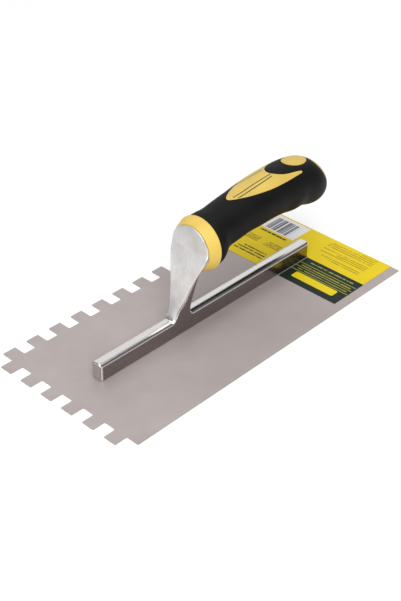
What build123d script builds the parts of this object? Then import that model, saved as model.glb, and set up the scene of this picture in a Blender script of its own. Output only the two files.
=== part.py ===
from build123d import *
import os

# Notched trowel. Millimetres, +Z up. The blade lies flat, and the origin is the centre of its underside.
# +X points to the toe, the short notched end. +Y points to the straight long edge.

# Blade: spring steel sheet with square notches along one long edge and along the toe
BLADE_LENGTH = 280.0
BLADE_WIDTH = 130.0
BLADE_THICKNESS = 0.7
NOTCH = 10.0
NOTCH_PITCH = 20.0
NOTCH_CORNER_RADIUS = 1.2
NOTCH_OVERRUN = 4.0
LONG_EDGE_NOTCHES = 13
TOE_NOTCHES = 5

# Mounting: one aluminium casting with a bar, a goose neck and a tang
BAR_FRONT = 105.0
BAR_REAR = -107.0
BAR_WIDTH = 10.0
BAR_HEIGHT = 13.5
BAR_SHOULDER_HEIGHT = 11.6
BAR_CORNER_RADIUS = 2.4
BAR_EDGE_RADIUS = 1.0
BAR_END_BEVEL = 0.8
BAR_TOP = BLADE_THICKNESS + BAR_HEIGHT
BAR_SHOULDER = BLADE_THICKNESS + BAR_SHOULDER_HEIGHT

# Rivets: countersunk heads flush with the blade's underside
RIVET_XS = [-95.0, -57.0, -19.0, 19.0, 57.0, 95.0]
RIVET_RADIUS = 2.0
RIVET_HEAD_RADIUS = 3.0
RIVET_DEPTH = 7.0

# Neck: a flat web as wide as the bar, with a wing that widens up to a round head.
# The web's front and rear edges are curves through (x, z) points.
WEB_HALF_WIDTH = BAR_WIDTH / 2
WEB_TOP_Z = 44.0
WEB_FRONT = [(36.4, 13.6), (33.7, 17.8), (30.2, 25.5), (26.2, 37.5), (24.3, WEB_TOP_Z)]
WEB_FRONT_FOOT_X = 39.0
WEB_REAR = [(11.5, WEB_TOP_Z), (12.6, 40.9), (15.8, 34.0), (18.5, 27.0), (20.9, 19.5), (21.3, 16.5)]
WEB_REAR_FOOT = (20.2, 13.9)
WEB_REAR_FOOT_X = 16.8
WEB_ROOT_Z = BAR_SHOULDER - 3

# Each wing station is (height, front edge x, rear edge x, half width, crown of the front face).
WING_RIM = 1.2
WING_STATIONS = [
    (10.8, 41.2, 30.8, 5.0, 1.8),
    (13.0, 37.4, 30.4, 5.0, 1.8),
    (15.2, 35.4, 30.0, 5.0, 1.8),
    (18.6, 33.4, 28.4, 5.1, 1.8),
    (25.5, 30.4, 23.6, 6.7, 1.7),
    (33.0, 27.7, 19.6, 8.6, 1.6),
    (41.0, 25.6, 16.8, 10.7, 1.5),
    (51.0, 22.5, 14.0, 13.8, 1.4),
    (57.5, 20.0, 12.0, 15.9, 1.4),
    (62.5, 18.2, 11.0, 16.3, 1.2),
    (66.5, 16.9, 10.0, 15.4, 1.0),
]
HEAD_RADIUS = 16.8
HEAD_RIM = 1.3
HEAD_DOME = 1.9
HEAD_SEAT = 1.0

# Tang: a square taper inside the handle, with a tapped hole in its end
TANG_REAR = -62.0
TANG_AXIS_Z = 66.0
TANG_FRONT_SIZE = 13.0
TANG_REAR_SIZE = 9.0

# Handle stations, each (x, top z, bottom z) of an oval section a little wider than it is high.
# The underside swells gently under the fingers and drops to a heel before the butt.
HANDLE_STATIONS = [
    (7.5, 80.8, 46.2),
    (-4.0, 82.7, 50.3),
    (-13.0, 84.2, 53.3),
    (-22.0, 85.7, 54.5),
    (-31.0, 87.0, 55.5),
    (-40.0, 88.3, 55.6),
    (-49.0, 89.4, 56.0),
    (-58.0, 90.1, 56.0),
    (-67.0, 90.4, 55.3),
    (-76.0, 90.3, 53.9),
    (-85.0, 89.8, 53.9),
    (-92.0, 88.8, 52.1),
    (-99.0, 86.9, 50.6),
    (-106.0, 83.2, 51.0),
    (-112.0, 77.6, 52.8),
    (-117.0, 70.2, 54.4),
]
HANDLE_WIDTH_RATIO = 1.06
HANDLE_END = (-120.3, 61.2)
UPPER_HALF_Z = 74.0
GRIP_THICKNESS = 2.5
CORE_NOSE_RADIUS = 13.0

# Collar: a cone that widens towards the hand
COLLAR_FRONT = 16.2
COLLAR_REAR = HANDLE_STATIONS[0][0]
COLLAR_Z = 62.6
COLLAR_FRONT_RADIUS = 17.1
COLLAR_REAR_RADIUS = 20.6
COLLAR_EDGE_RADIUS = 0.8

# Top inlay: a leaf with two tails that reach around the oval badge. Half outline, (x, y).
INLAY_TIP_X = -18.5
INLAY_SIDE = [(-24.5, 4.9), (-33.0, 8.2), (-48.0, 11.7), (-62.0, 12.9), (-76.0, 12.9), (-83.0, 12.5)]
INLAY_TAIL = (-83.8, 11.4)
INLAY_CRESCENT = [(-74.5, 9.9), (-65.0, 7.0)]
INLAY_NOTCH_X = -59.3
BADGE_X = -88.0
BADGE_HALF_LENGTH = 11.0
BADGE_HALF_WIDTH = 7.4
BADGE_RISE = 0.4

# Butt cap: its front edge lies in a plane that leans back
CAP_EDGE_X = -103.6
CAP_EDGE_Z = 82.5
CAP_LEAN = 25.0
CAP_SPIGOT_RADIUS = 6.5
CAP_SPIGOT_FRONT = -106.5

# Handle screw and washer, in line with the tang
SCREW_SEAT_X = -100.0
SCREW_BORE_RADIUS = 6.6
SCREW_CLEARANCE_RADIUS = 3.3
SCREW_RADIUS = 3.0
SCREW_FRONT = -52.0
SCREW_HEAD_RADIUS = 5.0
SCREW_HEAD_HEIGHT = 4.0
SCREW_SOCKET = 5.0
SCREW_SOCKET_DEPTH = 2.5
WASHER_RADIUS = 6.2
WASHER_THICKNESS = 1.6
TAPPED_END = -50.0

# Label on the blade, slotted around the bar's rear end
LABEL_FRONT = -72.0
LABEL_SIDE_LOW = -54.0
LABEL_SIDE_HIGH = 58.0
LABEL_THICKNESS = 0.3
LABEL_SLOT_GAP = 0.4
LABEL_SLOT_OVERRUN = 10.0

# Larger than the handle in every direction
FAR = 200.0


def rod_along_x(x_low, x_high, z, radius):
    """A cylinder whose axis runs along X at height z."""
    return Pos((x_low + x_high) / 2, 0, z) * Rot(0, 90, 0) * Cylinder(radius, x_high - x_low)


def handle_envelope(inset):
    """The handle's outer shape, or the same shape with the wall of a skin taken off."""
    sections = []
    for x, top, bottom in HANDLE_STATIONS:
        half_height = (top - bottom) / 2
        half_width = HANDLE_WIDTH_RATIO * half_height
        plane = Plane(origin=(x, 0, bottom + half_height), x_dir=(0, 1, 0), z_dir=(-1, 0, 0))
        sections.append(plane * Ellipse(half_width - inset, half_height - inset))
    end_x, end_z = HANDLE_END
    return loft(sections + [Vertex(end_x + inset, 0, end_z)])


def behind_cap_edge():
    """The half of space behind the leaning plane of the butt cap's front edge."""
    block = Pos(-FAR / 2, 0, 0) * Box(FAR, FAR, FAR)
    return Pos(CAP_EDGE_X, 0, CAP_EDGE_Z) * Rot(0, CAP_LEAN, 0) * block


def notch_cut():
    """One square notch, longer than its depth so that it runs out past the edge."""
    return RectangleRounded(NOTCH, NOTCH + NOTCH_OVERRUN, NOTCH_CORNER_RADIUS)


def rivets():
    """Countersunk rivets: each has a cone flush with the underside and a shank up into the bar."""
    shank_top = BLADE_THICKNESS + RIVET_DEPTH
    group = []
    for x in RIVET_XS:
        shank = Pos(x, 0, shank_top / 2) * Cylinder(RIVET_RADIUS, shank_top)
        head = Pos(x, 0, BLADE_THICKNESS / 2) * Cone(RIVET_HEAD_RADIUS, RIVET_RADIUS, BLADE_THICKNESS)
        group.append(shank + head)
    return group


def blade_rivets():
    """The six rivets as one node of separate solids."""
    return Compound(children=rivets())


def blade():
    """Flat sheet: notches along the -Y edge and the toe, an open notch at both toe corners."""
    outline = Rectangle(BLADE_LENGTH, BLADE_WIDTH)
    long_edge_y = -BLADE_WIDTH / 2 + NOTCH / 2 - NOTCH_OVERRUN / 2
    toe_edge_x = BLADE_LENGTH / 2 - NOTCH / 2 + NOTCH_OVERRUN / 2
    first_notch = 2.5 * NOTCH
    for i in range(LONG_EDGE_NOTCHES):
        x = BLADE_LENGTH / 2 - first_notch - i * NOTCH_PITCH
        outline -= Pos(x, long_edge_y) * notch_cut()
    for i in range(TOE_NOTCHES):
        y = -BLADE_WIDTH / 2 + first_notch + i * NOTCH_PITCH
        outline -= Pos(toe_edge_x, y) * Rot(0, 0, 90) * notch_cut()
    corner_side = NOTCH + NOTCH_OVERRUN
    corner_offset = (NOTCH_OVERRUN - NOTCH) / 2
    for side in (-1, 1):
        corner_x = BLADE_LENGTH / 2 + corner_offset
        corner_y = side * (BLADE_WIDTH / 2 + corner_offset)
        outline -= Pos(corner_x, corner_y) * RectangleRounded(corner_side, corner_side, NOTCH_CORNER_RADIUS)
    sheet = extrude(outline, BLADE_THICKNESS)
    for rivet in rivets():
        sheet -= rivet
    return sheet


def bar():
    """The bar on the blade: rounded ends, a crowned top and softly rounded long edges."""
    length = BAR_FRONT - BAR_REAR
    plan = Pos((BAR_FRONT + BAR_REAR) / 2, 0) * RectangleRounded(length, BAR_WIDTH, BAR_CORNER_RADIUS)
    block = Pos(0, 0, BLADE_THICKNESS) * extrude(plan, BAR_HEIGHT)
    half = BAR_WIDTH / 2
    with BuildPart() as crowned:
        with BuildSketch(Plane.YZ):
            with BuildLine():
                ThreePointArc((half, BAR_SHOULDER), (0, BAR_TOP), (-half, BAR_SHOULDER))
                Polyline((-half, BAR_SHOULDER), (-half, 0), (half, 0), (half, BAR_SHOULDER))
            make_face()
        extrude(amount=FAR, both=True)
        long_edges = crowned.edges().filter_by(Axis.X).group_by(Axis.Z)[-1]
        fillet(long_edges, BAR_EDGE_RADIUS)
    bevel_z = BAR_TOP - BAR_END_BEVEL
    profile = Polygon(
        (BAR_REAR, 0), (BAR_FRONT, 0), (BAR_FRONT, bevel_z), (BAR_FRONT - BAR_END_BEVEL, BAR_TOP),
        (BAR_REAR + BAR_END_BEVEL, BAR_TOP), (BAR_REAR, bevel_z), align=None,
    )
    bevelled = extrude(Plane.XZ * profile, FAR, both=True)
    return block & crowned.part & bevelled


def neck_web():
    """The flat web of the neck: leans back from the bar to the head, with filleted feet."""
    front_foot = (WEB_FRONT_FOOT_X, BAR_SHOULDER)
    rear_foot = (WEB_REAR_FOOT_X, BAR_SHOULDER)
    with BuildPart() as web:
        with BuildSketch(Plane.XZ):
            with BuildLine():
                Spline(front_foot, *WEB_FRONT)
                Line(WEB_FRONT[-1], WEB_REAR[0])
                Spline(*WEB_REAR)
                Spline(WEB_REAR[-1], WEB_REAR_FOOT, rear_foot)
                Polyline(rear_foot, (WEB_REAR_FOOT_X, WEB_ROOT_Z), (WEB_FRONT_FOOT_X, WEB_ROOT_Z), front_foot)
            make_face()
        extrude(amount=WEB_HALF_WIDTH, both=True)
    return web.part


def wing_section(height, front, rear, half_width, crown):
    """Level slice of the wing: crowned front, thin rims, and a back that narrows to the web."""
    spine = min(half_width, WEB_HALF_WIDTH) - 0.5
    back = front - WING_RIM
    with BuildSketch(Plane.XY.offset(height)) as slice_sketch:
        with BuildLine():
            ThreePointArc((front, -half_width), (front + crown, 0), (front, half_width))
            Polyline((front, half_width), (back, half_width), (rear, spine), (rear, -spine))
            Polyline((rear, -spine), (back, -half_width), (front, -half_width))
        make_face()
    return slice_sketch.sketch


def neck_wing():
    """The spoon-shaped front of the neck, lofted through level slices."""
    return loft([wing_section(*station) for station in WING_STATIONS])


def neck_head():
    """Round head that the collar butts against: a thin rim and a low dome."""
    back = COLLAR_FRONT - HEAD_SEAT
    rim_front = COLLAR_FRONT + HEAD_RIM
    top = rim_front + HEAD_DOME
    with BuildPart() as head:
        with BuildSketch(Plane.XZ):
            with BuildLine():
                Polyline((top, 0), (back, 0), (back, HEAD_RADIUS), (rim_front, HEAD_RADIUS))
                TangentArc((top, 0), (rim_front, HEAD_RADIUS), tangent=(0, 1))
            make_face()
        revolve(axis=Axis.X)
    return Pos(0, 0, COLLAR_Z) * head.part


def tang():
    """Square taper in the handle, with a blind tapped hole for the handle screw."""
    front = Plane(origin=(COLLAR_FRONT, 0, TANG_AXIS_Z), z_dir=(1, 0, 0))
    rear = Plane(origin=(TANG_REAR, 0, TANG_AXIS_Z), z_dir=(1, 0, 0))
    front_square = front * Rectangle(TANG_FRONT_SIZE, TANG_FRONT_SIZE)
    rear_square = rear * Rectangle(TANG_REAR_SIZE, TANG_REAR_SIZE)
    return loft([rear_square, front_square]) - rod_along_x(TANG_REAR, TAPPED_END, TANG_AXIS_Z, SCREW_RADIUS)


def collar_cone():
    """The collar's solid cone, before its bore."""
    cone = Cone(COLLAR_REAR_RADIUS, COLLAR_FRONT_RADIUS, COLLAR_FRONT - COLLAR_REAR)
    placed = Pos((COLLAR_FRONT + COLLAR_REAR) / 2, 0, COLLAR_Z) * Rot(0, 90, 0) * cone
    rear_edge = placed.edges().sort_by(Axis.X)[0]
    return fillet(rear_edge, COLLAR_EDGE_RADIUS)


def mounting_casting():
    """Bar, neck, head and tang in one piece, with blind rivet holes."""
    neck = neck_wing() + neck_head() + neck_web() - collar_cone()
    casting = neck + bar() + tang()
    for rivet in rivets():
        casting -= rivet
    return casting


def handle_core():
    """Rigid core inside the soft grip: nose through the collar, socket for the tang, screw bore."""
    core = handle_envelope(GRIP_THICKNESS)
    core += rod_along_x(COLLAR_REAR - 1, COLLAR_FRONT, COLLAR_Z, CORE_NOSE_RADIUS)
    core -= rod_along_x(SCREW_SEAT_X, TANG_REAR + 1, TANG_AXIS_Z, SCREW_CLEARANCE_RADIUS)
    core -= rod_along_x(-FAR, SCREW_SEAT_X, TANG_AXIS_Z, SCREW_BORE_RADIUS)
    return core - tang_outside()


def tang_outside():
    """The tang as a plain solid, without its tapped hole."""
    return tang() + rod_along_x(TANG_REAR, TAPPED_END + 1, TANG_AXIS_Z, SCREW_RADIUS)


def front_collar():
    """Conical collar around the core's nose."""
    bore = rod_along_x(COLLAR_REAR - 1, COLLAR_FRONT + 1, COLLAR_Z, CORE_NOSE_RADIUS)
    return collar_cone() - bore


def inlay_prism():
    """Upright prism over the plan of the inlay."""
    def mirrored(points):
        return [(x, -y) for x, y in reversed(points)]

    tip = (INLAY_TIP_X, 0)
    notch = (INLAY_NOTCH_X, 0)
    side_end = INLAY_SIDE[-1]
    with BuildPart() as prism:
        with BuildSketch(Plane.XY.offset(UPPER_HALF_Z)):
            with BuildLine():
                Spline(*(mirrored(INLAY_SIDE) + [tip] + INLAY_SIDE))
                Line(side_end, INLAY_TAIL)
                crescent = [INLAY_TAIL] + INLAY_CRESCENT + [notch]
                Spline(*(crescent + mirrored(crescent[:-1])))
                Line((INLAY_TAIL[0], -INLAY_TAIL[1]), (side_end[0], -side_end[1]))
            make_face()
        extrude(amount=FAR)
    return prism.part


def badge_prism():
    """Upright prism over the plan of the oval badge."""
    oval = Plane.XY.offset(UPPER_HALF_Z) * Pos(BADGE_X, 0) * Ellipse(BADGE_HALF_LENGTH, BADGE_HALF_WIDTH)
    return extrude(oval, FAR)


def grip_skin():
    """The layer between the core and the handle's outer shape."""
    return handle_envelope(0) - handle_envelope(GRIP_THICKNESS)


def soft_grip():
    """Soft overmould, with windows for the inlay and the badge, up to the butt cap's edge."""
    return grip_skin() - behind_cap_edge() - inlay_prism() - badge_prism()


def top_inlay():
    """Leaf-shaped inlay in the grip's upper window, flush with the grip."""
    return grip_skin() & inlay_prism()


def oval_badge():
    """Oval badge behind the inlay, a little proud of the grip."""
    return (handle_envelope(-BADGE_RISE) - handle_envelope(GRIP_THICKNESS)) & badge_prism()


def butt_cap():
    """Cup over the rear of the core, with a spigot that plugs the screw bore."""
    cup = grip_skin() & behind_cap_edge()
    spigot = rod_along_x(HANDLE_END[0], CAP_SPIGOT_FRONT, TANG_AXIS_Z, CAP_SPIGOT_RADIUS)
    return cup + (spigot & handle_envelope(GRIP_THICKNESS / 2))


def handle_screw():
    """Hex socket screw from the butt into the tang."""
    seat = SCREW_SEAT_X - WASHER_THICKNESS
    head_rear = seat - SCREW_HEAD_HEIGHT
    screw = rod_along_x(head_rear, SCREW_FRONT, TANG_AXIS_Z, SCREW_RADIUS)
    screw += rod_along_x(head_rear, seat, TANG_AXIS_Z, SCREW_HEAD_RADIUS)
    socket_plane = Plane(origin=(head_rear, 0, TANG_AXIS_Z), z_dir=(1, 0, 0))
    socket = socket_plane * RegularPolygon(SCREW_SOCKET / 2, 6, major_radius=False)
    return screw - extrude(socket, SCREW_SOCKET_DEPTH)


def screw_washer():
    """Flat washer under the screw head."""
    rear = SCREW_SEAT_X - WASHER_THICKNESS
    disc = rod_along_x(rear, SCREW_SEAT_X, TANG_AXIS_Z, WASHER_RADIUS)
    return disc - rod_along_x(rear, SCREW_SEAT_X, TANG_AXIS_Z, SCREW_CLEARANCE_RADIUS)


def blade_label():
    """Printed label on the heel end of the blade, slotted to pass on both sides of the bar."""
    rear = -BLADE_LENGTH / 2
    length = LABEL_FRONT - rear
    width = LABEL_SIDE_HIGH - LABEL_SIDE_LOW
    centre_y = (LABEL_SIDE_HIGH + LABEL_SIDE_LOW) / 2
    outline = Pos((LABEL_FRONT + rear) / 2, centre_y) * Rectangle(length, width)
    slot_rear = BAR_REAR - LABEL_SLOT_GAP
    slot_length = LABEL_FRONT - slot_rear + LABEL_SLOT_OVERRUN
    slot_width = BAR_WIDTH + 2 * LABEL_SLOT_GAP
    outline -= Pos(slot_rear + slot_length / 2, 0) * RectangleRounded(slot_length, slot_width, BAR_CORNER_RADIUS)
    return Pos(0, 0, BLADE_THICKNESS) * extrude(outline, LABEL_THICKNESS)


PARTS = {
    "blade": blade,
    "mounting_casting": mounting_casting,
    "blade_rivets": blade_rivets,
    "handle_core": handle_core,
    "soft_grip": soft_grip,
    "front_collar": front_collar,
    "top_inlay": top_inlay,
    "oval_badge": oval_badge,
    "butt_cap": butt_cap,
    "handle_screw": handle_screw,
    "screw_washer": screw_washer,
    "blade_label": blade_label,
}

os.makedirs("parts", exist_ok=True)
for name, make in PARTS.items():
    export_step(make(), f"parts/{name}.step")
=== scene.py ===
import bpy
import math
from mathutils import Matrix, Vector


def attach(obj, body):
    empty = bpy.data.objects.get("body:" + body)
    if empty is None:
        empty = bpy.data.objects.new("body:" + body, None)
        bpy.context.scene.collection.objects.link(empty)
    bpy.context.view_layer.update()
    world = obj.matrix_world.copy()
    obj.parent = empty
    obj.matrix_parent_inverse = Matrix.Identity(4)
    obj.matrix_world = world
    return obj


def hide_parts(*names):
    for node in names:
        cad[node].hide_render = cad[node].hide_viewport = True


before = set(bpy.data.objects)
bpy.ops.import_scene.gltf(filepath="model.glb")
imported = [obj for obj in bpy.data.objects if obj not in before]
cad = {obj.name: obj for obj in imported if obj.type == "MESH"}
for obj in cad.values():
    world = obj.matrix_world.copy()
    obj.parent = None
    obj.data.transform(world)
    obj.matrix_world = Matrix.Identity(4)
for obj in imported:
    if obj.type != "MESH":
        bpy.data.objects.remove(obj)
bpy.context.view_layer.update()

# ---------------------------------------------------------------------------
# Blade: a flat sheet of ground steel, riveted under the bar. The grinding grain runs
# along the sheet, and handling leaves faint smears.
BLADE_GREY = (0.350, 0.305, 0.297, 1)
BLADE_GREY_LIGHT = (0.384, 0.336, 0.328, 1)
BLADE_METALLIC = 0.25
BLADE_RELIEF = 0.00002
NOISE_LOW = 0.3
NOISE_HIGH = 0.7
PATCH_LOW = 0.35
PATCH_HIGH = 0.65


def finish_nodes(name):
    """A new material with its shader, its tree and an Object coordinate output."""
    material = bpy.data.materials.new(name)
    material.use_nodes = True
    tree = material.node_tree
    shader = tree.nodes["Principled BSDF"]
    coordinates = tree.nodes.new("ShaderNodeTexCoord")
    return material, tree, shader, coordinates.outputs["Object"]


def stretched(tree, source, scale):
    """Coordinates scaled differently along each axis, for grain and brush marks."""
    mapping = tree.nodes.new("ShaderNodeMapping")
    mapping.inputs["Scale"].default_value = scale
    tree.links.new(source, mapping.inputs["Vector"])
    return mapping.outputs["Vector"]


def noise(tree, source, scale, detail, roughness):
    """Noise, mostly between NOISE_LOW and NOISE_HIGH."""
    texture = tree.nodes.new("ShaderNodeTexNoise")
    texture.inputs["Scale"].default_value = scale
    texture.inputs["Detail"].default_value = detail
    texture.inputs["Roughness"].default_value = roughness
    tree.links.new(source, texture.inputs["Vector"])
    return texture.outputs["Fac"]


def remapped(tree, value, low, high, to_low, to_high):
    """A value moved from one range to another, and clamped."""
    node = tree.nodes.new("ShaderNodeMapRange")
    node.inputs["From Min"].default_value = low
    node.inputs["From Max"].default_value = high
    node.inputs["To Min"].default_value = to_low
    node.inputs["To Max"].default_value = to_high
    tree.links.new(value, node.inputs["Value"])
    return node.outputs["Result"]


def blended(tree, factor, first, second):
    """A colour between two colours or colour sockets."""
    node = tree.nodes.new("ShaderNodeMix")
    node.data_type = "RGBA"
    tree.links.new(factor, node.inputs["Factor"])
    for socket, colour in (("A", first), ("B", second)):
        slot = [s for s in node.inputs if s.name == socket and s.type == "RGBA"][0]
        if isinstance(colour, tuple):
            slot.default_value = colour
        else:
            tree.links.new(colour, slot)
    return [s for s in node.outputs if s.type == "RGBA"][0]


def patches(tree, source, dark, light):
    """A colour that drifts between two colours with a noise."""
    return blended(tree, remapped(tree, source, PATCH_LOW, PATCH_HIGH, 0, 1), dark, light)


def roughened(tree, shader, source, smooth, rough):
    """Roughness that follows a noise."""
    value = remapped(tree, source, NOISE_LOW, NOISE_HIGH, smooth, rough)
    tree.links.new(value, shader.inputs["Roughness"])


def bumped(tree, shader, height, distance):
    """Surface relief from a height of 0 to 1, with its depth in metres."""
    bump = tree.nodes.new("ShaderNodeBump")
    bump.inputs["Distance"].default_value = distance
    bump.inputs["Strength"].default_value = 1.0
    tree.links.new(height, bump.inputs["Height"])
    tree.links.new(bump.outputs["Normal"], shader.inputs["Normal"])


def dressed(piece, material):
    """The material on every slot of a piece."""
    if not piece.material_slots:
        piece.data.materials.append(material)
    for slot in piece.material_slots:
        slot.material = material


def ground_steel():
    material, tree, shader, place = finish_nodes("ground_steel")
    grain = noise(tree, stretched(tree, place, (30, 1400, 1400)), 1.0, 3, 0.5)
    smears = noise(tree, place, 22, 3, 0.6)
    colour = patches(tree, smears, BLADE_GREY, BLADE_GREY_LIGHT)
    tree.links.new(colour, shader.inputs["Base Color"])
    roughened(tree, shader, grain, 0.42, 0.56)
    shader.inputs["Metallic"].default_value = BLADE_METALLIC
    bumped(tree, shader, grain, BLADE_RELIEF)
    return material


dressed(cad["blade"], ground_steel())

# ---------------------------------------------------------------------------
# Mounting: one aluminium casting, riveted to the blade. The neck's front is matt, the
# bar's top is polished and the edges are soft. Its colour holds painted light: the flanks
# are painted darker as painted shade, a dark band beside the neck's edges is a painted
# reflection, the head and the foot are painted darker as painted shade, and the edges
# are bright with a painted highlight.
CAST_GREY = (0.90, 0.885, 0.875, 1)
CAST_GREY_DARK = (0.73, 0.715, 0.705, 1)
# Painted shade: the darker grey of the head and the foot
HEAD_AND_FOOT_SHADE = (0.50, 0.49, 0.48, 1)
POLISHED_GREY = (0.70, 0.68, 0.665, 1)
# Painted shade: the dark grey of the flanks, also used for the painted dark band beside the neck's
# edges
PAINTED_FLANK_SHADE = (0.29, 0.255, 0.248, 1)
# Painted highlight: the near-white grey of the edges
PAINTED_EDGE_HIGHLIGHT = (0.95, 0.94, 0.93, 1)
CASTING_GRAIN = 0.00046
CASTING_PASSES = 10
CASTING_RELIEF = 0.00006
POLISHED_RELIEF_SHARE = 0.02
WELD_DISTANCE = 0.00001
BAR_TOP = 0.0142
BAR_POLISH_END = 0.0172
FOOT_HEIGHTS = (0.018, 0.036)
SHADOW_HEIGHTS = (0.040, 0.050)
HEAD_HEIGHTS = (0.055, 0.075)
# How far the head and the foot are painted towards their painted shade
SHADE_SHARE = 0.5

# How squarely the surface faces sideways where each band begins and ends: the painted dark
# reflection beside the neck's edges, the painted highlight on the edges and the painted shade on
# the flanks
SHADOW_TURN = (0.42, 0.55)
EDGE_TURN = (0.64, 0.76)
EDGE_END_TURN = (0.88, 0.95)
FLANK_TURN = (0.92, 0.99)


def only(piece):
    """Makes one piece the active object and the only one selected."""
    for other in bpy.context.selected_objects:
        other.select_set(False)
    piece.select_set(True)
    bpy.context.view_layer.objects.active = piece


def welded_copy(name):
    """A new piece with a CAD node's shape and its facets welded together."""
    piece = bpy.data.objects.new(name + "_finished", cad[name].data.copy())
    bpy.context.scene.collection.objects.link(piece)
    only(piece)
    bpy.ops.object.mode_set(mode="EDIT")
    bpy.ops.mesh.select_all(action="SELECT")
    bpy.ops.mesh.remove_doubles(threshold=WELD_DISTANCE)
    bpy.ops.mesh.normals_make_consistent(inside=False)
    bpy.ops.object.mode_set(mode="OBJECT")
    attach(piece, "root")
    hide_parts(name)
    return piece


def cast_skin(name, grain_size, passes):
    """A CAD node's shape with a tumbled casting's soft edges and blended corners."""
    piece = welded_copy(name)
    remesh = piece.modifiers.new("even_skin", "REMESH")
    remesh.mode = "VOXEL"
    remesh.voxel_size = grain_size
    soften = piece.modifiers.new("tumbled", "SMOOTH")
    soften.factor = 0.5
    soften.iterations = passes
    bpy.ops.object.modifier_apply(modifier=remesh.name)
    bpy.ops.object.modifier_apply(modifier=soften.name)
    bpy.ops.object.shade_smooth()
    return piece


def axis_parts(tree, vector):
    """The X, Y and Z sockets of a vector."""
    node = tree.nodes.new("ShaderNodeSeparateXYZ")
    tree.links.new(vector, node.inputs["Vector"])
    return node.outputs


def calculated(tree, operation, *values):
    """A Math node over numbers and sockets."""
    node = tree.nodes.new("ShaderNodeMath")
    node.operation = operation
    for slot, value in zip(node.inputs, values):
        if isinstance(value, (int, float)):
            slot.default_value = value
        else:
            tree.links.new(value, slot)
    return node.outputs["Value"]


def facing(tree, axis):
    """How squarely the surface faces along one axis, without sign."""
    coordinates = tree.nodes.new("ShaderNodeTexCoord")
    return calculated(tree, "ABSOLUTE", axis_parts(tree, coordinates.outputs["Normal"])[axis])


def band(tree, value, limits, before, after):
    """A step from one number to another between two limits."""
    return remapped(tree, value, limits[0], limits[1], before, after)


def cast_aluminium():
    material, tree, shader, place = finish_nodes("cast_aluminium")
    mottle = noise(tree, place, 90, 5, 0.65)
    pores = noise(tree, place, 900, 3, 0.6)
    brushing = noise(tree, stretched(tree, place, (500, 900, 25)), 1.0, 3, 0.5)
    drawn = noise(tree, stretched(tree, place, (12, 900, 900)), 1.0, 2, 0.5)
    height = axis_parts(tree, place)["Z"]
    sideways = facing(tree, "Y")
    # The edge band, where the surface turns from front to side, carries a painted highlight in its
    # colour and is polished in its roughness
    past_front = band(tree, sideways, EDGE_TURN, 0, 1)
    edge = calculated(tree, "MULTIPLY", past_front, band(tree, sideways, EDGE_END_TURN, 1, 0))
    # Painted reflection: a dark band beside the neck's edges, below the head
    shadow = calculated(tree, "SUBTRACT", band(tree, sideways, SHADOW_TURN, 0, 1), past_front)
    shadow = calculated(tree, "MULTIPLY", shadow, band(tree, height, SHADOW_HEIGHTS, 1, 0))
    flank = band(tree, sideways, FLANK_TURN, 0, 1)
    low = band(tree, height, (BAR_TOP, BAR_POLISH_END), 1, 0)
    # Painted shade: the head and the foot are coloured darker
    head = band(tree, height, HEAD_HEIGHTS, 0, SHADE_SHARE)
    foot = band(tree, height, FOOT_HEIGHTS, SHADE_SHARE, 0)

    skin = patches(tree, mottle, CAST_GREY_DARK, CAST_GREY)
    skin = blended(tree, calculated(tree, "MAXIMUM", head, foot), skin, HEAD_AND_FOOT_SHADE)
    skin = blended(tree, low, skin, POLISHED_GREY)
    # Painted shade: the flanks are coloured dark grey
    skin = blended(tree, flank, skin, PAINTED_FLANK_SHADE)
    # Painted reflection: the dark band beside the neck's edges takes the flanks' painted shade
    skin = blended(tree, shadow, skin, PAINTED_FLANK_SHADE)
    # Painted highlight along the edges
    tree.links.new(blended(tree, edge, skin, PAINTED_EDGE_HIGHLIGHT), shader.inputs["Base Color"])

    matt = remapped(tree, calculated(tree, "ADD", mottle, brushing), 0.7, 1.3, 0.52, 0.68)
    bright = remapped(tree, drawn, NOISE_LOW, NOISE_HIGH, 0.14, 0.2)
    bright = calculated(tree, "ADD", bright, calculated(tree, "MULTIPLY", flank, 0.1))
    polish = calculated(tree, "MAXIMUM", calculated(tree, "MAXIMUM", low, flank), edge)
    kept = calculated(tree, "MULTIPLY", matt, calculated(tree, "SUBTRACT", 1, polish))
    shine = calculated(tree, "MULTIPLY", bright, polish)
    tree.links.new(calculated(tree, "ADD", kept, shine), shader.inputs["Roughness"])
    shader.inputs["Metallic"].default_value = 1.0

    grit = calculated(tree, "ADD", pores, brushing)
    unpolished = calculated(tree, "SUBTRACT", 1 + POLISHED_RELIEF_SHARE, polish)
    bumped(tree, shader, calculated(tree, "MULTIPLY", grit, unpolished), CASTING_RELIEF)
    return material


casting = cast_skin("mounting_casting", CASTING_GRAIN, CASTING_PASSES)
dressed(casting, cast_aluminium())

# ---------------------------------------------------------------------------
# Rivets: six countersunk aluminium rivets, which hold the blade to the bar and are
# ground flush with its underside.
RIVET_GREY = (0.6, 0.6, 0.6, 1)


def rivet_metal():
    material, tree, shader, place = finish_nodes("rivet_metal")
    mottle = noise(tree, place, 700, 3, 0.6)
    tree.links.new(blended(tree, mottle, RIVET_GREY, CAST_GREY), shader.inputs["Base Color"])
    roughened(tree, shader, mottle, 0.3, 0.5)
    shader.inputs["Metallic"].default_value = 1.0
    return material


dressed(cad["blade_rivets"], rivet_metal())

# ---------------------------------------------------------------------------
# Core, collar, inlay, badge and butt cap: yellow plastic mouldings. The core slides on
# the tang, and the inlay has a frame of fine lines engraved in its face.
YELLOW = (0.60, 0.425, 0.082, 1)
YELLOW_DEEP = (0.54, 0.375, 0.068, 1)
# Painted light: the collar's yellows are a lighter copy of the same plastic, for the light on its
# face
LIT_COLLAR_YELLOW = (0.68, 0.48, 0.088, 1)
LIT_COLLAR_YELLOW_DEEP = (0.60, 0.415, 0.072, 1)
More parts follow.
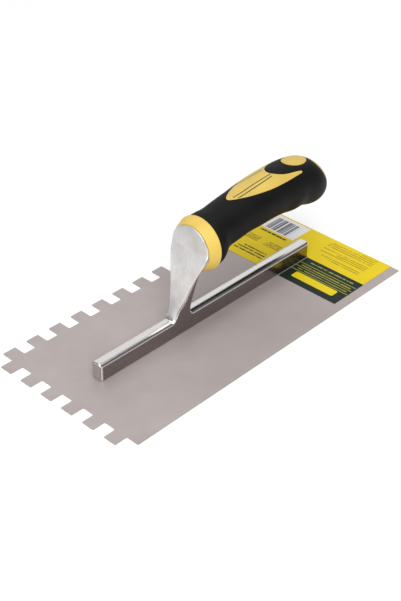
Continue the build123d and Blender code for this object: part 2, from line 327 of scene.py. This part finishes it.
# Painted shade: the dark brown inside the engraved lines
GROOVE_SHADE = (0.07, 0.045, 0.01, 1)
GROOVE_WIDTH = 0.0008
PLASTIC_RELIEF = 0.00002
BEVEL_SEGMENTS = 3
BEVEL_ANGLE = math.radians(30)
SMOOTH_ANGLE = math.radians(35)
INLAY_FRAME = [
    [(-0.0605, -0.0056), (-0.0510, -0.0061), (-0.0426, -0.0076), (-0.0360, -0.0090)],
    [(-0.0599, 0.0029), (-0.0513, 0.0029), (-0.0416, 0.0025), (-0.0317, 0.0023), (-0.0225, 0.0015)],
    [(-0.0590, 0.0050), (-0.0487, 0.0053), (-0.0387, 0.0051), (-0.0290, 0.0047), (-0.0250, 0.0042)],
]


def rounded(name, edge):
    """A CAD node's shape with its sharp edges rounded, as a moulding's are."""
    piece = welded_copy(name)
    bevel = piece.modifiers.new("broken_edges", "BEVEL")
    bevel.width = edge
    bevel.segments = BEVEL_SEGMENTS
    bevel.limit_method = "ANGLE"
    bevel.angle_limit = BEVEL_ANGLE
    bpy.ops.object.modifier_apply(modifier=bevel.name)
    bpy.ops.object.shade_smooth_by_angle(angle=SMOOTH_ANGLE)
    return piece


def engraved_line(tree, x, y, points):
    """1 on a fine curve drawn through (x, y) points in order of x, and 0 beside it."""
    xs = [point[0] for point in points]
    ys = [point[1] for point in points]
    spread = max(ys) - min(ys)
    curve = tree.nodes.new("ShaderNodeFloatCurve")
    track = curve.mapping.curves[0].points
    for index, (px, py) in enumerate(points):
        place = ((px - xs[0]) / (xs[-1] - xs[0]), (py - min(ys)) / spread)
        if index in (0, len(points) - 1):
            track[0 if index == 0 else -1].location = place
        else:
            track.new(*place)
    curve.mapping.update()
    tree.links.new(remapped(tree, x, xs[0], xs[-1], 0, 1), curve.inputs["Value"])
    centre = remapped(tree, curve.outputs["Value"], 0, 1, min(ys), max(ys))
    on_line = calculated(tree, "COMPARE", y, centre, GROOVE_WIDTH / 2)
    in_reach = calculated(tree, "COMPARE", x, (xs[0] + xs[-1]) / 2, (xs[-1] - xs[0]) / 2)
    return calculated(tree, "MULTIPLY", on_line, in_reach)


def yellow_plastic(name, light=YELLOW, deep=YELLOW_DEEP, lines=()):
    material, tree, shader, place = finish_nodes(name)
    drift = noise(tree, place, 60, 3, 0.5)
    spark = noise(tree, place, 2200, 2, 0.5)
    colour = patches(tree, drift, deep, light)
    height = spark
    at = axis_parts(tree, place)
    for points in lines:
        groove = engraved_line(tree, at["X"], at["Y"], points)
        # Painted shade in the engraved lines
        colour = blended(tree, groove, colour, GROOVE_SHADE)
        height = calculated(tree, "SUBTRACT", height, groove)
    tree.links.new(colour, shader.inputs["Base Color"])
    roughened(tree, shader, drift, 0.42, 0.52)
    bumped(tree, shader, height, PLASTIC_RELIEF)
    return material


yellow = yellow_plastic("yellow_plastic")
inlay_yellow = yellow_plastic("inlay_plastic", lines=INLAY_FRAME)
# Painted light: the collar gets the lighter copy of the yellow
lit_collar_yellow = yellow_plastic("collar_plastic", LIT_COLLAR_YELLOW, LIT_COLLAR_YELLOW_DEEP)
dressed(cad["handle_core"], yellow)
for name, slot_name, edge, material in (
    ("front_collar", "collar_plastic", 0.0006, lit_collar_yellow),
    ("top_inlay", "inlay_plastic", 0.0004, inlay_yellow),
    ("oval_badge", "badge_plastic", 0.0004, yellow),
    ("butt_cap", "cap_plastic", 0.0004, yellow),
):
    moulding = rounded(name, edge)
    dressed(moulding, material)

# ---------------------------------------------------------------------------
# Soft grip: black thermoplastic rubber, moulded over the core. Its surface is matt
# and finely textured.
RUBBER_BLACK = (0.0025, 0.0025, 0.0026, 1)
RUBBER_GREY = (0.006, 0.006, 0.0062, 1)
RUBBER_SHINE = 0.13
RUBBER_RELIEF = 0.00004
GRIP_EDGE = 0.0005


def grip_rubber():
    material, tree, shader, place = finish_nodes("grip_rubber")
    drift = noise(tree, place, 80, 3, 0.5)
    grit = noise(tree, place, 1800, 2, 0.5)
    colour = blended(tree, drift, RUBBER_BLACK, RUBBER_GREY)
    tree.links.new(colour, shader.inputs["Base Color"])
    roughened(tree, shader, drift, 0.5, 0.62)
    shader.inputs["Specular IOR Level"].default_value = RUBBER_SHINE
    bumped(tree, shader, grit, RUBBER_RELIEF)
    return material


grip = rounded("soft_grip", GRIP_EDGE)
dressed(grip, grip_rubber())

# ---------------------------------------------------------------------------
# Screw and washer: zinc-plated steel, under the butt cap. They hold the handle on the
# tang and are hidden in the handle.
ZINC = (0.55, 0.56, 0.58, 1)


def zinc_plate():
    material, tree, shader, place = finish_nodes("zinc_plate")
    spangle = noise(tree, place, 500, 3, 0.6)
    tree.links.new(blended(tree, spangle, ZINC, CAST_GREY), shader.inputs["Base Color"])
    roughened(tree, shader, spangle, 0.25, 0.4)
    shader.inputs["Metallic"].default_value = 1.0
    return material


zinc = zinc_plate()
dressed(cad["handle_screw"], zinc)
dressed(cad["screw_washer"], zinc)

# ---------------------------------------------------------------------------
# Label: printed film stuck to the heel end of the blade and slotted round the bar. It
# has a dark band with a plain plate and rules, a bar panel and rows of illegible print.
LABEL_YELLOW = (0.68, 0.52, 0.006, 1)
LABEL_YELLOW_DEEP = (0.63, 0.47, 0.007, 1)
LABEL_DARK = (0.010, 0.020, 0.016, 1)
LABEL_WHITE = (0.66, 0.66, 0.68, 1)
LABEL_INK = (0.06, 0.045, 0.008, 1)
LABEL_FAINT_INK = (0.34, 0.24, 0.012, 1)
LABEL_BAR_GREY = (0.13, 0.13, 0.15, 1)
LABEL_RULE = (0.30, 0.30, 0.03, 1)
LABEL_SHINE = 0.12
LABEL_RELIEF = 0.00004

# Areas of the label, each (lowest x, highest x, lowest y, highest y)
DARK_BAND = (-0.1057, -0.0700, 0, 0.0600)
PLATE = (-0.0856, -0.0780, 0.0120, 0.0505)
PLATE_CORNER = 0.0015
BAR_PANEL = (-0.1385, -0.1160, -0.0500, -0.0180)
BARS = (-0.1352, -0.1172, -0.0475, -0.0250)

# Rows of print and rules, each (x, lowest y, highest y, height)
INK_ROWS = [
    (-0.0797, -0.0460, -0.0180, 0.0016),
    (-0.0831, -0.0455, -0.0180, 0.0016),
    (-0.0864, -0.0410, -0.0190, 0.0014),
    (-0.1126, -0.0480, -0.0220, 0.0022),
]
FAINT_ROWS = [
    (-0.1136, 0.0195, 0.0475, 0.0012),
    (-0.1161, 0.0105, 0.0475, 0.0012),
    (-0.1208, 0.0055, 0.0475, 0.0012),
    (-0.1232, 0.0200, 0.0475, 0.0012),
    (-0.1255, 0.0055, 0.0475, 0.0012),
    (-0.1298, 0.0055, 0.0475, 0.0012),
    (-0.1323, 0.0055, 0.0475, 0.0012),
    (-0.1348, 0.0070, 0.0475, 0.0012),
    (-0.1373, 0.0300, 0.0475, 0.0010),
    (-0.0968, -0.0500, -0.0375, 0.0018),
    (-0.0992, -0.0490, -0.0375, 0.0018),
    (-0.1018, -0.0500, -0.0375, 0.0018),
    (-0.0968, -0.0310, -0.0165, 0.0018),
    (-0.0992, -0.0300, -0.0165, 0.0018),
    (-0.1018, -0.0290, -0.0165, 0.0018),
]
PALE_ROWS = [
    (-0.0896, 0.0090, 0.0550, 0.0010),
    (-0.0948, 0.0090, 0.0550, 0.0012),
    (-0.1015, 0.0120, 0.0520, 0.0012),
]
RULES = [(x, 0.0054, 0.0575, 0.0007) for x in (-0.0870, -0.0923, -0.0976)]


def oblong(tree, at, x_low, x_high, y_low, y_high):
    """1 inside a rectangle of the label's plan and 0 outside."""
    in_x = calculated(tree, "COMPARE", at["X"], (x_low + x_high) / 2, (x_high - x_low) / 2)
    in_y = calculated(tree, "COMPARE", at["Y"], (y_low + y_high) / 2, (y_high - y_low) / 2)
    return calculated(tree, "MULTIPLY", in_x, in_y)


def rounded_oblong(tree, at, x_low, x_high, y_low, y_high, radius):
    """The same with round corners."""
    reach = []
    for axis, low, high in (("X", x_low, x_high), ("Y", y_low, y_high)):
        off = calculated(tree, "SUBTRACT", at[axis], (low + high) / 2)
        off = calculated(tree, "ABSOLUTE", off)
        over = calculated(tree, "SUBTRACT", off, (high - low) / 2 - radius)
        reach.append(calculated(tree, "POWER", calculated(tree, "MAXIMUM", over, 0), 2))
    return calculated(tree, "LESS_THAN", calculated(tree, "ADD", *reach), radius ** 2)


def rows_of_print(tree, at, rows):
    """1 on any of the rows and 0 elsewhere."""
    ink = 0
    for x, y_low, y_high, height in rows:
        row = oblong(tree, at, x - height / 2, x + height / 2, y_low, y_high)
        ink = calculated(tree, "MAXIMUM", ink, row)
    return ink


def dashes(tree, place, scale, low, high):
    """1 and 0 by turns, at uneven lengths set by a noise."""
    return remapped(tree, noise(tree, stretched(tree, place, scale), 1.0, 2, 0.6), low, high, 0, 1)


def label_film():
    material, tree, shader, place = finish_nodes("label_film")
    at = axis_parts(tree, place)
    drift = noise(tree, place, 40, 3, 0.5)
    words = dashes(tree, place, (250, 650, 1), 0.38, 0.46)
    stripes = dashes(tree, place, (0, 560, 0), 0.42, 0.52)
    colour = blended(tree, drift, LABEL_YELLOW, LABEL_YELLOW_DEEP)
    colour = blended(tree, oblong(tree, at, *DARK_BAND), colour, LABEL_DARK)
    colour = blended(tree, rows_of_print(tree, at, RULES), colour, LABEL_RULE)
    pale = calculated(tree, "MULTIPLY", rows_of_print(tree, at, PALE_ROWS), words)
    colour = blended(tree, pale, colour, LABEL_RULE)
    plate = rounded_oblong(tree, at, *PLATE, PLATE_CORNER)
    colour = blended(tree, plate, colour, LABEL_YELLOW)
    for rows, shade in ((INK_ROWS, LABEL_INK), (FAINT_ROWS, LABEL_FAINT_INK)):
        ink = calculated(tree, "MULTIPLY", rows_of_print(tree, at, rows), words)
        colour = blended(tree, ink, colour, shade)
    colour = blended(tree, oblong(tree, at, *BAR_PANEL), colour, LABEL_WHITE)
    bars = calculated(tree, "MULTIPLY", oblong(tree, at, *BARS), stripes)
    colour = blended(tree, bars, colour, LABEL_BAR_GREY)
    tree.links.new(colour, shader.inputs["Base Color"])
    roughened(tree, shader, drift, 0.4, 0.5)
    shader.inputs["Specular IOR Level"].default_value = LABEL_SHINE
    bumped(tree, shader, drift, LABEL_RELIEF)
    return material


dressed(cad["blade_label"], label_film())

# ---------------------------------------------------------------------------
# Floor, light and camera: a pale studio table, just under the blade, with three
# softboxes and an even grey surround.
FLOOR_WHITE = (0.9, 0.9, 0.9, 1)
FLOOR_GREY = (0.88, 0.88, 0.88, 1)
FLOOR_SIZE = 6
FLOOR_Z = -0.0003
SURROUND = 0.32
CAMERA_AIM = Vector((0.0226, 0.0152, 0.030))
CAMERA_DISTANCE = 0.8184
CAMERA_AZIMUTH = math.radians(43.03)
CAMERA_ELEVATION = math.radians(34.97)
CAMERA_ROLL = math.radians(0.84)
CAMERA_LENS = 72.72
CAMERA_SENSOR = 36

bpy.ops.mesh.primitive_plane_add(size=FLOOR_SIZE, location=(0, 0, FLOOR_Z))
floor = bpy.context.active_object
floor.name = "studio_floor"


def floor_paint():
    material, tree, shader, place = finish_nodes("floor_paint")
    drift = noise(tree, place, 2, 2, 0.5)
    tree.links.new(blended(tree, drift, FLOOR_WHITE, FLOOR_GREY), shader.inputs["Base Color"])
    shader.inputs["Roughness"].default_value = 0.9
    return material


dressed(floor, floor_paint())


def soft_light(name, place, aim, width, height, power):
    lamp = bpy.data.lights.new(name, "AREA")
    lamp.shape = "RECTANGLE"
    lamp.size = width
    lamp.size_y = height
    lamp.energy = power
    holder = bpy.data.objects.new(name, lamp)
    holder.location = place
    towards = Vector(aim) - Vector(place)
    holder.rotation_euler = towards.to_track_quat("-Z", "Y").to_euler()
    bpy.context.scene.collection.objects.link(holder)


soft_light("back_left_softbox", (-0.96, -0.90, 0.95), (0, 0, 0), 2.2, 1.8, 8.5)
soft_light("overhead_softbox", (0.1, 0.1, 1.8), (0, 0, 0), 1.6, 1.6, 13)
soft_light("front_softbox", (1.1, 1.0, 1.4), (0, 0, 0.05), 1.6, 1.6, 40)

world = bpy.data.worlds.new("studio")
world.use_nodes = True
background = world.node_tree.nodes["Background"]
background.inputs["Color"].default_value = (1, 1, 1, 1)
background.inputs["Strength"].default_value = SURROUND
bpy.context.scene.world = world
bpy.context.scene.view_settings.view_transform = "Standard"

camera_data = bpy.data.cameras.new("camera")
camera_data.lens = CAMERA_LENS
camera_data.sensor_width = CAMERA_SENSOR
camera = bpy.data.objects.new("camera", camera_data)
bpy.context.scene.collection.objects.link(camera)
bpy.context.scene.camera = camera
out = Vector((
    math.cos(CAMERA_ELEVATION) * math.cos(CAMERA_AZIMUTH),
    math.cos(CAMERA_ELEVATION) * math.sin(CAMERA_AZIMUTH),
    math.sin(CAMERA_ELEVATION),
))
turn = (-out).to_track_quat("-Z", "Y").to_matrix() @ Matrix.Rotation(CAMERA_ROLL, 3, "Z")
camera.matrix_world = Matrix.Translation(CAMERA_AIM + CAMERA_DISTANCE * out) @ turn.to_4x4()
